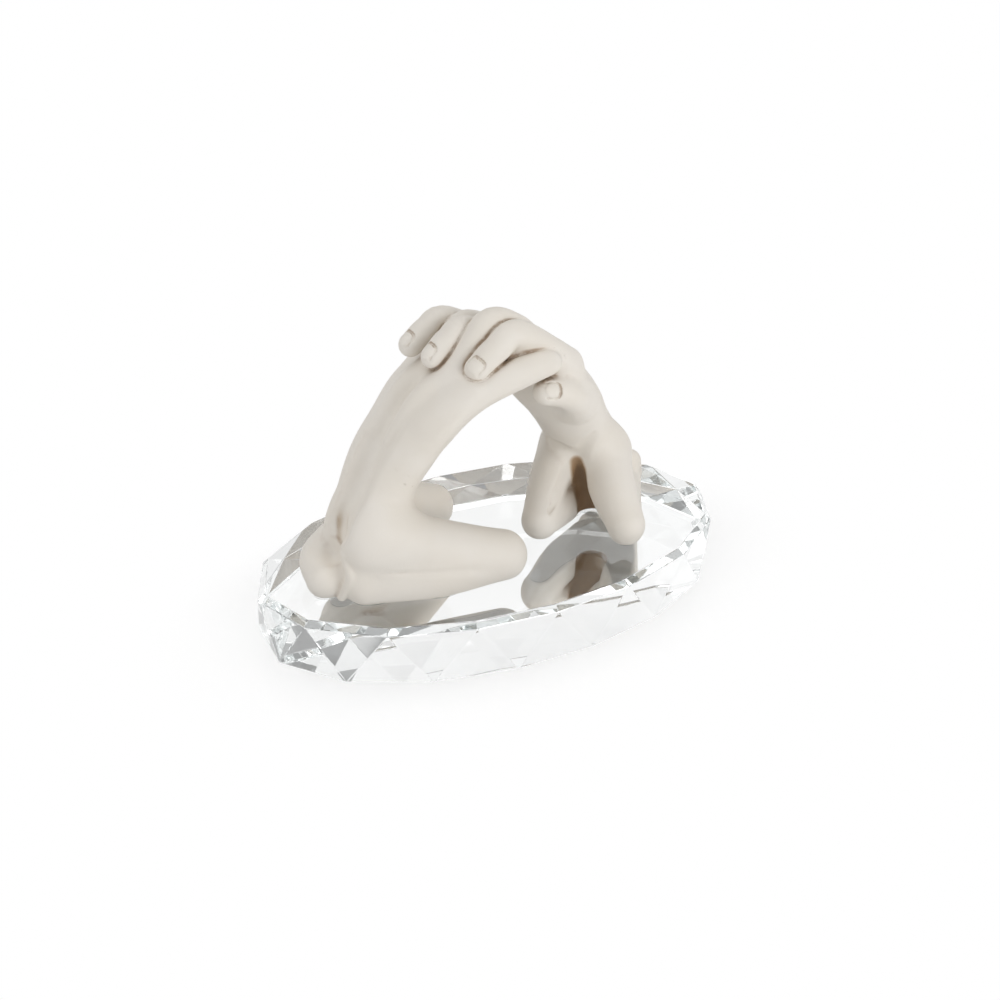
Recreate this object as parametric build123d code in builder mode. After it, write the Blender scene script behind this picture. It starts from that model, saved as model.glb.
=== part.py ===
from build123d import *
import math
import os

# Two kneeling hand figures, clasped in an arch, bonded to a cut crystal base.
# Millimetres, +Z up, origin at the middle of the base's underside, X along its length.
# "Near" is the -Y side of the object and "far" the +Y side.

# Crystal base: a flat oval block, ground to corners
BASE_LENGTH = 160.0
BASE_WIDTH = 92.0
BASE_HEIGHT = 19.2
BEVEL_DROP = 1.8
BEVEL_INSET = 2.0
CORNERS = 16
CORNER_SHIFT = 5.0  # degrees by which the corners crowd towards the long sides

# Clear adhesive between the crystal and the undersides of the figures
BOND_FILM = 0.15
SEAT = BASE_HEIGHT + BOND_FILM

# Half sizes of the trunks, each a forearm and hand: (across, front to back)
LEFT_SEAT_HALF = (12.0, 9.2)
LEFT_HIP_HALF = (12.6, 10.2)
LEFT_WAIST_HALF = (15.3, 10.4)
LEFT_WRIST_HALF = (17.6, 9.4)
LEFT_PALM_HALF = (19.9, 8.2)
LEFT_KNUCKLE_HALF = (18.4, 6.0)
RIGHT_SEAT_HALF = (11.0, 10.0)
RIGHT_HIP_HALF = (12.0, 10.5)
RIGHT_WAIST_HALF = (11.6, 9.2)
RIGHT_WRIST_HALF = (13.5, 9.0)
RIGHT_PALM_HALF = (16.5, 8.8)
RIGHT_KNUCKLE_HALF = (17.5, 6.2)

# Rounded masses: half sizes along X and Y, and half the straight height between the rounded ends
LEFT_BUTTOCK = (10.3, 8.2, 2.3)
RIGHT_BUTTOCK = (7.6, 7.6, 0.9)
HEEL = (6.6, 7.0, 2.0)
SOLE = (5.5, 6.0, 1.0)

# Radii along the legs: hip, middle and knee of a thigh; shin, middle and ankle of a calf; the feet
LEFT_THIGH_RADII = (9.6, 9.2, 6.9)
RIGHT_NEAR_THIGH_RADII = (8.8, 7.6, 6.2)
RIGHT_FAR_THIGH_RADII = (8.2, 6.6, 5.6)
LEFT_CALF_RADII = (6.0, 7.3, 5.8)
RIGHT_CALF_RADII = (5.3, 6.9, 5.8)
RIGHT_SHANK_RADIUS = 8.1
LEFT_FOOT_RADIUS = 6.4
RIGHT_NEAR_FOOT_RADIUS = 4.2
RIGHT_FAR_FOOT_RADIUS = 5.2

# Radii along the digits: root, two joints and tip
FINGER_RADII = (5.1, 4.4, 4.1, 3.7)
THUMB_RADII = (6.2, 5.1, 4.5, 4.0)

# Hollows of the left figure: the groove of its spine and the arch of its sole
SPINE_RADIUS = 4.7
ARCH_RADIUS = 6.2

# Degrees by which the right trunk's ovals turn from +X towards the near side, and how far they tip up
RIGHT_TURNS = ((-30, 0), (-30, 0), (-41, 0.05), (-56, 0.12), (-69, 0.2), (-72, 0.25))

DOME_ANGLES = (30.0, 55.0, 75.0)  # degrees, where a rounded end has its sections


def on_base(x, y, height):
    """A point at a height above the seat of the figures."""
    return Vector(x, y, SEAT + height)


def path(*places):
    """Points given as x, y and height above the seat, in order along a limb."""
    return [on_base(*place) for place in places]


def oval_section(centre, along, across, half):
    """One oval face square to a limb's direction."""
    square_across = across - along * across.dot(along)
    with BuildSketch(Plane(centre, x_dir=square_across, z_dir=along)) as section:
        Ellipse(half[0], half[1])
    return section.sketch


def limb(points, halves, across=Vector(0, 1, 0), mode=Mode.ADD):
    """Loft a limb with rounded ends through ovals at its points, to join to the part or cut out of it."""
    steps = [b - a for a, b in zip(points, points[1:])]
    turns = [(a.normalized() + b.normalized()).normalized() for a, b in zip(steps, steps[1:])]
    along = [steps[0].normalized(), *turns, steps[-1].normalized()]
    wide = across if isinstance(across, list) else [across] * len(points)
    sizes = [half if isinstance(half, tuple) else (half, half) for half in halves]
    stations = list(zip(points, along, wide, sizes))
    sections = [oval_section(*station) for station in stations]
    for end, sense in ((0, -1), (-1, 1)):
        centre, direction, side, half = stations[end]
        for angle in DOME_ANGLES:
            reach = min(half) * math.sin(math.radians(angle)) * sense
            shrink = math.cos(math.radians(angle))
            size = (half[0] * shrink, half[1] * shrink)
            cap = oval_section(centre + direction * reach, direction, side, size)
            sections.insert(0 if end == 0 else len(sections), cap)
    loft(sections, mode=mode)


def swelling(x, y, height, mass):
    """A rounded mass about its middle."""
    half_x, half_y, rise = mass
    limb(path((x, y, height - rise), (x, y, height + rise)), [(half_y, half_x)] * 2)


# Crystal base: alternating triangles from the underside up to the rim, then a bevel to the top
def corner(step, height):
    """A corner of the oval rim, counted from the left end, at a height."""
    turn = 2 * math.pi * step / CORNERS
    bearing = math.pi + turn + math.radians(CORNER_SHIFT) * math.sin(2 * turn)
    return Vector(BASE_LENGTH / 2 * math.cos(bearing), BASE_WIDTH / 2 * math.sin(bearing), height)


def facet(*corners):
    """A flat face through its corners."""
    return Face(Wire.make_polygon(corners))


rim_height = BASE_HEIGHT - BEVEL_DROP
underside = [corner(step + 0.5, 0) for step in range(CORNERS)]
rim = [corner(step, rim_height) for step in range(CORNERS)]
facets = [facet(*underside), facet(*rim)]
for here in range(CORNERS):
    after = (here + 1) % CORNERS
    facets.append(facet(rim[here], underside[here], rim[after]))
    facets.append(facet(underside[here], underside[after], rim[after]))

with BuildPart() as crystal_base:
    add(Solid(Shell(facets)))
    with BuildSketch(Plane.XY.offset(rim_height)):
        Polygon(*[(point.X, point.Y) for point in rim], align=None)
    extrude(amount=BEVEL_DROP, taper=math.degrees(math.atan2(BEVEL_INSET, BEVEL_DROP)))
crystal_base.part.label = "crystal_base"


# Left figure: seen from behind, it faces +X and its hand reaches over to the right
with BuildPart() as left_figure:
    trunk = path(
        (-45, -3.5, 11.6),
        (-44.3, -3, 19.8),
        (-36.7, 0.4, 33.9),
        (-29.8, 0.5, 43.9),
        (-22.4, 0.3, 53.4),
        (-12.8, -0.8, 62.8),
    )
    halves = (
        LEFT_SEAT_HALF, LEFT_HIP_HALF, LEFT_WAIST_HALF,
        LEFT_WRIST_HALF, LEFT_PALM_HALF, LEFT_KNUCKLE_HALF,
    )
    limb(trunk, halves)
    swelling(-45.2, -14.6, 17, LEFT_BUTTOCK)
    swelling(-45.6, -1.6, 16.6, LEFT_BUTTOCK)
    near_thigh = path((-45, -9.5, 17.6), (-28, -16, 11.9), (-7, -21, 7.2))
    far_thigh = path((-43, 5.5, 17.6), (-30, 11, 12.6), (-14.5, 15.6, 7.2))
    near_calf = path((-6.5, -21, 4.8), (-28, -20, 3.8), (-50, -15.6, 3.4))
    far_calf = path((-14, 15.8, 4.8), (-30, 15, 4.0), (-50, 10, 4.6))
    for thigh in (near_thigh, far_thigh):
        limb(thigh, LEFT_THIGH_RADII)
    for calf in (near_calf, far_calf):
        limb(calf, LEFT_CALF_RADII)
    swelling(-50.5, -12, 6, HEEL)
    swelling(-54.5, -7.6, 4, SOLE)
    far_foot = path((-52, 7.5, 7.5), (-58.8, 0, 7.6), (-60.2, -7.5, 4.8))
    limb(far_foot, [LEFT_FOOT_RADIUS] * 3)
    spine = path(
        (-56, -5.6, 23.5),
        (-52.4, -4.8, 32.1),
        (-47.7, -4, 40.5),
        (-39.9, -2.8, 51.1),
        (-32.2, -1.6, 62),
    )
    limb(spine, [SPINE_RADIUS] * 5, mode=Mode.SUBTRACT)
    with Locations(on_base(-63.5, -6, 17.6)):
        Sphere(ARCH_RADIUS, mode=Mode.SUBTRACT)
    little = path((-12, -14, 60.2), (1, -16.3, 65), (10, -15.6, 66.2), (18, -9.8, 63.2))
    ring = path((-15.5, -6.5, 63.1), (-4.8, -6.3, 77.4), (5.5, -4.8, 74.2), (12.5, -3.5, 67.6))
    middle = path((-15, 4, 62.6), (-9, 4, 73.8), (1, 5, 71.1), (10, 6, 65.6))
    index = path((-17, 14, 57.6), (-11, 15, 66.6), (-1, 15, 64.6), (8, 16, 59.6))
    thumb = path((-22, 11, 48), (-15, 16.5, 53.6), (-8, 18.5, 57), (-1, 18.5, 58.6))
    for finger in (little, ring, middle, index):
        limb(finger, FINGER_RADII)
    limb(thumb, THUMB_RADII)
    split(bisect_by=Plane.XY.offset(SEAT), keep=Keep.TOP)
left_figure.part.label = "left_figure"

# Right figure: it kneels turned to the near side and twists to meet the left hand
with BuildPart() as right_figure:
    trunk = path(
        (41, 9, 11.6),
        (39, 7, 19.6),
        (31, 3, 34.1),
        (25, 0.5, 44.1),
        (18, -1, 53.1),
        (12, 0, 61.1),
    )
    halves = (
        RIGHT_SEAT_HALF, RIGHT_HIP_HALF, RIGHT_WAIST_HALF,
        RIGHT_WRIST_HALF, RIGHT_PALM_HALF, RIGHT_KNUCKLE_HALF,
    )
    across = [
        Vector(math.cos(math.radians(turn)), math.sin(math.radians(turn)), tip) for turn, tip in RIGHT_TURNS
    ]
    limb(trunk, halves, across)
    swelling(45.5, 8, 15.6, RIGHT_BUTTOCK)
    swelling(36.5, 13.5, 15.6, RIGHT_BUTTOCK)
    limb(path((42.5, 3.5, 19), (38.2, -12, 12.6), (37, -22.4, 6.4)), RIGHT_NEAR_THIGH_RADII)
    limb(path((32, 11.5, 20), (21.8, 2.6, 13.5), (13.6, -6.8, 6.2)), RIGHT_FAR_THIGH_RADII)
    limb(path((37.4, -21.8, 4.2), (44.5, -6.5, 3.8), (53, 6, 4)), RIGHT_CALF_RADII)
    limb(path((14.2, -6.2, 4.2), (28, 3.6, 3.6), (43, 14, 4)), RIGHT_CALF_RADII)
    limb(path((38.5, 4, 5), (46, 11, 4)), [RIGHT_SHANK_RADIUS] * 2)
    limb(path((57.5, 9.5, 11.8), (58, 11, 4.6)), [RIGHT_NEAR_FOOT_RADIUS] * 2)
    limb(path((46, 17, 10.6), (49, 20, 4.6)), [RIGHT_FAR_FOOT_RADIUS] * 2)
    index = path((19.5, -10.5, 61.6), (2.5, -11.5, 75), (-5.6, -13, 71.8), (-11.4, -14, 67.4))
    middle = path((12, -1.5, 63.6), (-8.5, -1.5, 74.6), (-15, -1.7, 72.6), (-20.3, -2.2, 68.6))
    ring = path((8, 9, 62.6), (-11, 9, 74.2), (-17.6, 8.5, 72.6), (-23.2, 8, 69))
    little = path((8, 18, 57.6), (-6.5, 19, 64.4), (-11.5, 19.3, 63), (-16, 19, 60))
    thumb = path((25, -8, 46.6), (20.5, -14.4, 51.8), (15.5, -17.4, 55.8), (9.5, -17.8, 57.6))
    for finger in (index, middle, ring, little):
        limb(finger, FINGER_RADII)
    limb(thumb, THUMB_RADII)
    split(bisect_by=Plane.XY.offset(SEAT), keep=Keep.TOP)
    add(left_figure.part, mode=Mode.SUBTRACT)
right_figure.part.label = "right_figure"


def footprints(figure):
    """The ground flats on the underside of a figure."""
    return figure.faces().filter_by(Axis.Z).group_by(Axis.Z)[0]


# Adhesive films: one patch under each ground flat
with BuildPart() as left_bond:
    for flat in footprints(left_figure):
        extrude(flat, amount=BOND_FILM, dir=(0, 0, -1))
left_bond.part.label = "left_bond"

with BuildPart() as right_bond:
    for flat in footprints(right_figure):
        extrude(flat, amount=BOND_FILM, dir=(0, 0, -1))
right_bond.part.label = "right_bond"

os.makedirs("parts", exist_ok=True)
for piece in (crystal_base, left_figure, right_figure, left_bond, right_bond):
    export_step(piece.part, f"parts/{piece.part.label}.step")
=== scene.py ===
import math

import bpy
import numpy as np
from bpy.props import FloatProperty, FloatVectorProperty, PointerProperty
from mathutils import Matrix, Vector


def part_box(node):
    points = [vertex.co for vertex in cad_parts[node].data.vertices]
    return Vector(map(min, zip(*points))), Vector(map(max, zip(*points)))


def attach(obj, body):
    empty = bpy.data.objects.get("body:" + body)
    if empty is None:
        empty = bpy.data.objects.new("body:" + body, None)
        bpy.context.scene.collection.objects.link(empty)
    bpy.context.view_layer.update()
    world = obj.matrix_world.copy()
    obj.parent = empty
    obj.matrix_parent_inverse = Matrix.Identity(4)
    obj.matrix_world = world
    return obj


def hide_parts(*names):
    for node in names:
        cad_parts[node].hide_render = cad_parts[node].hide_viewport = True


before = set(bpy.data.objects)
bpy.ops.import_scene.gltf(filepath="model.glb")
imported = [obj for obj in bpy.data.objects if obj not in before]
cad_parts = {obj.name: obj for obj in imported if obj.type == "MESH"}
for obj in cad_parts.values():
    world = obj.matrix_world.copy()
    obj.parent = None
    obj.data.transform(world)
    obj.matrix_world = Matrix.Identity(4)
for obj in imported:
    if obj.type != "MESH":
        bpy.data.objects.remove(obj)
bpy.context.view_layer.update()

bl_info = {
    "name": "Clasped hand figures on crystal",
    "version": (1, 0, 0),
    "blender": (4, 5, 0),
    "location": "3D View > Sidebar > Hand figures",
    "description": "Models two ivory ceramic hand figures, clasped in an arch, on a cut crystal base",
    "category": "Object",
}

BODY = "root"
MM = 0.001

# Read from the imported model, in millimetres: the crystal's box and the height of the figures' undersides
CRYSTAL_LOW, CRYSTAL_HIGH = (np.array(corner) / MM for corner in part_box("crystal_base"))
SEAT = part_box("left_figure")[0].z / MM

# In millimetres: how far past a form it can still blend with another, the distance of points that no form reaches,
# and the rounding of the edge where a figure is ground flat
BLEND_REACH = 7.0
FAR = np.float32(1000.0)
GROUND_EDGE = 0.5


# Clay: signed distances to a body that is built up form by form

def smooth_min(a, b, blend):
    """The smaller of two distances, rounded off where they differ by less than blend."""
    if blend <= 0:
        return np.minimum(a, b)
    overlap = np.maximum(blend - np.abs(a - b), 0) / blend
    return np.minimum(a, b) - overlap * overlap * blend * 0.25


def smooth_max(a, b, blend):
    """The larger of two distances, rounded off where they differ by less than blend."""
    return -smooth_min(-a, -b, blend)


def oval_distance(squares, halves):
    """About the distance to an ellipsoid, from the squared offsets along its axes and its half sizes.

    With k the length of the offsets over the half sizes, and q that of the offsets over the squared half sizes, it is
    k (k - 1) / q outside, and the shortest half size times k - 1 inside.
    """
    ratios = [square / (half * half) for square, half in zip(squares, halves)]
    k = np.sqrt(sum(ratios))
    q = np.sqrt(sum(ratio / (half * half) for ratio, half in zip(ratios, halves))) + np.float32(1e-6)
    least = np.minimum(np.minimum(halves[0], halves[1]), halves[2])
    return np.where(k < 1, (k - 1) * least, k * (k - 1) / q)


def dot(a, b):
    """Products of two lists of vectors, row by row."""
    return np.einsum("ij,ij->i", a, b)


class Tube:
    """A limb: an oval section carried along a smooth path, with rounded ends.

    Each row of the route is x, y, height above the seat, half width and half depth in millimetres, and a row without
    a half depth is round. The width lies along the across direction, squared to the path, which is a Catmull-Rom
    curve through the rows. The nearest place on it is found on straight steps, a few to a span, and then corrected.
    """

    def __init__(self, route, across=(0, 1, 0), steps=3):
        rows = np.asarray([row if len(row) == 5 else (*row, row[3]) for row in route], float)
        rows[:, 2] += SEAT
        rows = np.hstack([rows, np.broadcast_to(np.asarray(across, float), (len(rows), 3))])
        self.spans = len(rows) - 1
        ends = np.vstack([2 * rows[0] - rows[1], rows, 2 * rows[-1] - rows[-2]])
        a, b, c, d = (ends[i:i + self.spans] for i in range(4))
        powers = (b, (c - a) / 2, (2 * a - 5 * b + 4 * c - d) / 2, (3 * b - a - 3 * c + d) / 2)
        self.powers = np.stack(powers).astype(np.float32)
        self.guide = np.linspace(0, self.spans, self.spans * steps + 1).astype(np.float32)
        self.knots = self.at(self.guide)[0][:, :3]
        reach = rows[:, 3:5].max() + BLEND_REACH
        self.low, self.high = self.knots.min(0) - reach, self.knots.max(0) + reach

    def at(self, place, columns=slice(None)):
        """The curve's values and their slopes at places counted in spans from its start."""
        span = np.minimum(place.astype(np.int32), self.spans - 1)
        t = (place - span)[:, None]
        a, b, c, d = self.powers[:, :, columns]
        bend, twist = c[span], d[span]
        slope = b[span] + t * (2 * bend + 3 * t * twist)
        return a[span] + t * (b[span] + t * (bend + t * twist)), slope

    def distance(self, points):
        """About the distance, in the oval section at the nearest place on the path."""
        nearest = np.full(len(points), FAR * FAR)
        place = np.zeros(len(points), np.float32)
        for here in range(len(self.knots) - 1):
            start, run = self.knots[here], self.knots[here + 1] - self.knots[here]
            away = points - start
            share = np.clip(away @ (run / (run @ run)), 0, 1)
            away -= share[:, None] * run
            apart = dot(away, away)
            closer = np.nonzero(apart < nearest)[0]
            nearest[closer] = apart[closer]
            place[closer] = self.guide[here] + share[closer] * (self.guide[here + 1] - self.guide[here])
        spot, slope = self.at(place, slice(0, 3))
        place = np.clip(place + dot(points - spot, slope) / dot(slope, slope), 0, self.spans)
        value, slope = self.at(place)
        along = slope[:, :3] / np.sqrt(dot(slope[:, :3], slope[:, :3]))[:, None]
        side = value[:, 5:] - along * dot(value[:, 5:], along)[:, None]
        away = points - value[:, :3]
        ahead = dot(away, along) ** 2
        aside = dot(away, side) ** 2 / dot(side, side)
        wide, deep = value[:, 3], value[:, 4]
        squares = (aside, np.maximum(dot(away, away) - ahead - aside, 0), ahead)
        return oval_distance(squares, (wide, deep, np.minimum(wide, deep)))


class Ball:
    """A swelling: an ellipsoid at x, y and a height above the seat, with its half sizes along its axes."""

    def __init__(self, x, y, height, halves, axes=np.eye(3)):
        self.centre = np.array([x, y, SEAT + height], np.float32)
        self.halves = np.asarray(halves, np.float32)
        self.axes = np.asarray(axes, np.float32)
        reach = self.halves.max() + BLEND_REACH
        self.low, self.high = self.centre - reach, self.centre + reach

    def distance(self, points):
        """About the distance to the ellipsoid."""
        offsets = (points - self.centre) @ self.axes.T
        return oval_distance((offsets * offsets).T, self.halves)


class Clay:
    """Points in millimetres, each with its signed distance to a body that is built up form by form."""

    def __init__(self, points):
        self.points = points
        self.distance = np.full(len(points), FAR)

    def near(self, form):
        """The numbers of the points that a form can reach."""
        return np.nonzero(((self.points > form.low) & (self.points < form.high)).all(1))[0]

    def press(self, form, blend=0.0):
        """Join a form to the body, with a fillet of about the blend's size."""
        at = self.near(form)
        self.distance[at] = smooth_min(self.distance[at], form.distance(self.points[at]), blend)

    def scoop(self, form, blend):
        """Take a form out of the body, with its rim rounded by about the blend's size."""
        at = self.near(form)
        self.distance[at] = smooth_max(self.distance[at], -form.distance(self.points[at]), blend)

    def score(self, first, second, depth, width, low, high, fade):
        """Score a fine line in a box, where two forms are equally near, fading out towards the box's faces."""
        at = np.nonzero(((self.points > low) & (self.points < high)).all(1))[0]
        apart = (first.distance(self.points[at]) - second.distance(self.points[at])) / width
        inside = np.minimum(self.points[at] - low, high - self.points[at]).min(1) / fade
        self.distance[at] += (depth * np.clip(inside, 0, 1) * np.exp(-apart * apart)).astype(np.float32)

    def join(self, other, blend):
        """Join another body given at the same points."""
        self.distance = smooth_min(self.distance, other.distance, blend)

    def grind(self):
        """Cut the body flat at the seat."""
        self.distance = smooth_max(self.distance, SEAT - self.points[:, 2], GROUND_EDGE)


# The left figure, seen from behind, faces +X, and its hand reaches over to the right

LEFT_TRUNK = (
    (-45, -3.5, 11.6, 12.0, 9.2),
    (-44.3, -3.0, 19.8, 12.6, 10.2),
    (-36.7, 0.4, 33.9, 15.3, 10.4),
    (-29.8, 0.5, 43.9, 17.6, 9.4),
    (-22.4, 0.3, 53.4, 19.9, 8.2),
    (-12.8, -0.8, 62.8, 18.4, 6.0),
)
LEFT_DIGITS = {
    "little": (
        (-25, -11, 50.6, 5.8), (-12, -14, 60.2, 5.5), (1, -16.3, 65.0, 4.9), (10, -15.6, 66.2, 4.5),
        (18, -9.8, 63.2, 3.0)),
    "ring": ((-15.5, -6.5, 63.1, 5.0), (-4.8, -6.3, 77.4, 4.4), (5.5, -4.8, 74.2, 4.1), (12.5, -3.5, 67.6, 3.5)),
    "middle": ((-15, 4, 62.6, 5.2), (-9, 4, 73.8, 4.4), (1, 5, 71.1, 4.1), (10, 6, 65.6, 3.5)),
    "index": ((-17, 14, 57.6, 5.0), (-11, 15, 66.6, 4.3), (-1, 15, 64.6, 4.0), (8, 16, 59.6, 3.4)),
    "thumb": ((-22, 11, 48.0, 6.0), (-15, 16.5, 53.6, 5.0), (-8, 18.5, 57.0, 4.6), (-1, 18.5, 58.6, 3.9)),
}
LEFT_NAILS = {"ring": (0.5, 0.1, 0.8), "middle": (0.5, 0.1, 0.8), "index": (0.4, 0.4, 0.8), "thumb": (0.1, 0.9, 0.5)}

# The lines of its back: the wide hollow of the spine, the valley in it, the cleft, and the fold beside the sole
LEFT_SPINE = (
    (-56.8, -8.2, 23.8, 5.8), (-52.9, -5.6, 32.2, 5.8), (-48.1, -4.3, 40.7, 5.8), (-40.2, -2.9, 51.3, 5.8),
    (-32.3, -1.7, 62.2, 5.8),
)
LEFT_VALLEY = (
    (-36.6, 1.5, 55.4, 2.6), (-39.1, 0.1, 50.5, 3.6), (-42.5, -0.9, 44.1, 4.3), (-45.8, -3.0, 38.0, 4.4),
    (-48.5, -3.6, 33.4, 4.3), (-50.9, -3.7, 29.4, 3.6), (-53.3, -4.7, 25.7, 2.4),
)
LEFT_CLEFT = (
    (-49.9, -3.2, 28.8, 1.6), (-51.6, -3.4, 24.8, 1.5), (-52.5, -4.4, 21.2, 1.4), (-53.8, -6.8, 18.5, 1.3),
    (-55.2, -9.0, 16.0, 1.2), (-56.8, -9.5, 13.0, 1.0),
)
LEFT_FOLD = (
    (-56.1, -14.3, 15.9, 0.9), (-55.5, -14.6, 12.7, 1.2), (-55.2, -16.5, 9.6, 1.4), (-56.3, -15.6, 5.2, 1.4),
    (-57.6, -14.0, 1.0, 1.3),
)


def left_clay(points):
    """The left figure at some points: trunk and hand, buttocks, folded legs and feet, cut flat at the seat."""
    clay = Clay(points)
    clay.press(Tube(LEFT_TRUNK))
    seat = Clay(points)
    seat.press(Ball(-45.2, -14.6, 18.4, (10.2, 8.0, 10.6)))
    seat.press(Ball(-46.2, -0.8, 15.8, (10.2, 7.8, 9.8)), 1.5)
    clay.join(seat, 6.0)
    near_thigh = Tube(((-45, -9.5, 17.6, 10.0), (-28, -16, 11.9, 9.3), (-7, -21, 7.2, 7.0)))
    near_calf = Tube(((-6.5, -21, 4.8, 6.0), (-28, -20.0, 3.8, 7.2), (-50, -15.6, 3.4, 5.6)))
    far_thigh = Tube(((-43, 5.5, 17.6, 9.0), (-30, 11, 12.6, 9.0), (-14.5, 15.6, 7.2, 6.7)))
    far_calf = Tube(((-14, 15.8, 4.8, 6.0), (-30, 15, 4.0, 7.3), (-50, 10, 4.6, 6.0)))
    heel = Ball(-50.5, -12.0, 6.0, (6.6, 7.0, 8.6))
    far_foot = Tube(((-52, 7.5, 7.5, 6.4), (-58.8, 0, 7.2, 6.6), (-60.2, -7.5, 4.8, 6.1)))
    near_foot = Ball(-54.5, -7.6, 4.0, (5.5, 6.0, 6.5))
    above_sole = Ball(-63.5, -6.0, 17.6, (6.2, 6.2, 6.2))
    pit = Ball(-58.6, -7.3, 14.2, (3.4, 3.4, 3.4))
    clay.press(near_thigh, 7.0)
    clay.press(near_calf, 5.5)
    clay.press(far_thigh, 4.0)
    clay.press(far_calf, 1.5)
    clay.press(heel, 3.0)
    clay.press(far_foot, 3.0)
    clay.press(near_foot, 3.0)
    clay.scoop(above_sole, 2.5)
    clay.scoop(Tube(LEFT_SPINE), 4.5)
    clay.scoop(Tube(LEFT_VALLEY), 2.5)
    clay.scoop(Tube(LEFT_CLEFT), 1.4)
    clay.scoop(pit, 2.5)
    clay.press(Tube(LEFT_FOLD), 1.2)
    clay.score(near_thigh, near_calf, depth=0.4, width=1.0,
               low=(-50, -40, SEAT - 10), high=(-10, 0, SEAT + 30), fade=10.0)
    for side in (5.0, -6.0):
        tendon = ((-16, side, 65.0, 2.4), (-27.4, side * 0.9, 57.3, 2.6), (-36.4, side * 0.8, 45.6, 1.4))
        clay.press(Tube(tendon), 3.0)
    hand(clay, LEFT_DIGITS, LEFT_NAILS)
    clay.grind()
    return clay.distance


# Hands, in millimetres: the blends between the digits, of the webs at their roots, and of a nail's groove and plate
DIGIT_BLEND = 0.6
WEB_BLEND = 2.5
GROOVE_BLEND = 0.3
PLATE_BLEND = 0.1

# A nail's half width as a share of the digit's, and its outline: how far along the digit each spot of its groove lies
# from the centre of the rounded end, and how far to the side in half widths
NAIL_SHARE = 0.66
NAIL_ALONG = np.array([1.9, 0.5, -1.1, -2.0, -2.2, -2.0, -1.1, 0.5, 1.9])
NAIL_ASIDE = np.array([0.98, 1.0, 0.97, 0.7, 0.0, -0.7, -0.97, -1.0, -0.98])

# The groove's height off the skin and half width, and the plate's depth under the skin, shift ahead and half sizes
GROOVE_LIFT = 0.12
GROOVE_HALF = 0.42
PLATE_SINK = 1.05
PLATE_AHEAD = 0.35
PLATE_LONG, PLATE_SHARE, PLATE_DEEP = 2.5, 0.86, 1.2


def hand(clay, digits, nails):
    """Join a hand's digits to a body, webbed at their roots, then cut and lay its nails."""
    fingers = Clay(clay.points)
    for route in digits.values():
        fingers.press(Tube(route), DIGIT_BLEND)
    clay.join(fingers, WEB_BLEND)
    for name, up in nails.items():
        groove, plate = nail(digits[name], up)
        clay.scoop(groove, GROOVE_BLEND)
        clay.press(plate, PLATE_BLEND)


def nail(route, up):
    """A digit's nail: the groove round its root and sides, and the plate in it, on the side that faces up.

    The groove follows the skin: at a distance along the digit from the centre of its rounded end, it lies at an arc
    length to the side. Its half width is even, and its across direction only has to differ from its path.
    """
    rows = np.asarray(route, float)
    tip, radius = rows[-1, :3], rows[-1, 3]
    along = (tip - rows[-2, :3]) / np.linalg.norm(tip - rows[-2, :3])
    back = np.asarray(up, float) - along * (np.asarray(up, float) @ along)
    back = back / np.linalg.norm(back)
    side = np.cross(along, back)
    wide = NAIL_SHARE * radius
    arc = wide * NAIL_ASIDE
    out = np.sqrt(radius ** 2 - np.clip(NAIL_ALONG, 0, None) ** 2) + GROOVE_LIFT
    spots = tip + np.outer(NAIL_ALONG, along) + out[:, None] * (
        np.outer(np.cos(arc / out), back) + np.outer(np.sin(arc / out), side))
    groove = Tube([(*spot, GROOVE_HALF) for spot in spots], across=along + back * 0.3)
    centre = tip + back * (radius - PLATE_SINK) + along * PLATE_AHEAD
    plate = Ball(*centre, (PLATE_LONG, wide * PLATE_SHARE, PLATE_DEEP), (along, side, back))
    return groove, plate


# The right figure, seen from the front, kneels turned to the near side and twists to meet the left hand

RIGHT_TRUNK = (
    (41, 9, 11.6, 11.0, 10.0),
    (39, 7, 19.6, 12.0, 10.5),
    (31, 3, 34.1, 11.6, 9.2),
    (25, 0.5, 44.1, 13.5, 9.0),
    (18, -1, 53.1, 16.5, 8.8),
    (12, 0, 61.1, 17.5, 6.2),
)
RIGHT_ACROSS = (
    (0.87, -0.5, 0), (0.87, -0.5, 0), (0.75, -0.66, 0.05), (0.55, -0.82, 0.12), (0.35, -0.92, 0.2), (0.3, -0.92, 0.25),
)
RIGHT_DIGITS = {
    "index": ((19.5, -10.5, 61.6, 5.6), (2.5, -11.5, 75.0, 4.6), (-5.6, -13, 71.8, 4.5), (-11.4, -14, 67.4, 4.2)),
    "middle": ((12, -1.5, 63.6, 5.0), (-8.5, -1.5, 74.6, 4.4), (-15, -1.7, 72.6, 4.2), (-20.3, -2.2, 68.6, 3.8)),
    "ring": ((8, 9, 62.6, 5.0), (-11, 9, 74.2, 4.4), (-17.6, 8.5, 72.6, 4.2), (-23.2, 8, 69.0, 3.8)),
    "little": ((8, 18, 57.6, 4.6), (-6.5, 19, 64.4, 4.0), (-11.5, 19.3, 63.0, 3.8), (-16, 19, 60.0, 3.4)),
    "thumb": ((25, -8, 46.6, 6.5), (20.5, -14.4, 51.8, 5.2), (15.5, -17.4, 55.8, 4.5), (9.5, -17.8, 57.6, 4.2)),
}
RIGHT_NAILS = {
    "index": (-0.4, -0.55, 0.75), "middle": (-0.6, -0.2, 0.8), "ring": (-0.6, -0.2, 0.8), "little": (-0.4, 0.5, 0.8),
    "thumb": (-0.2, -0.85, 0.55),
}

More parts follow.
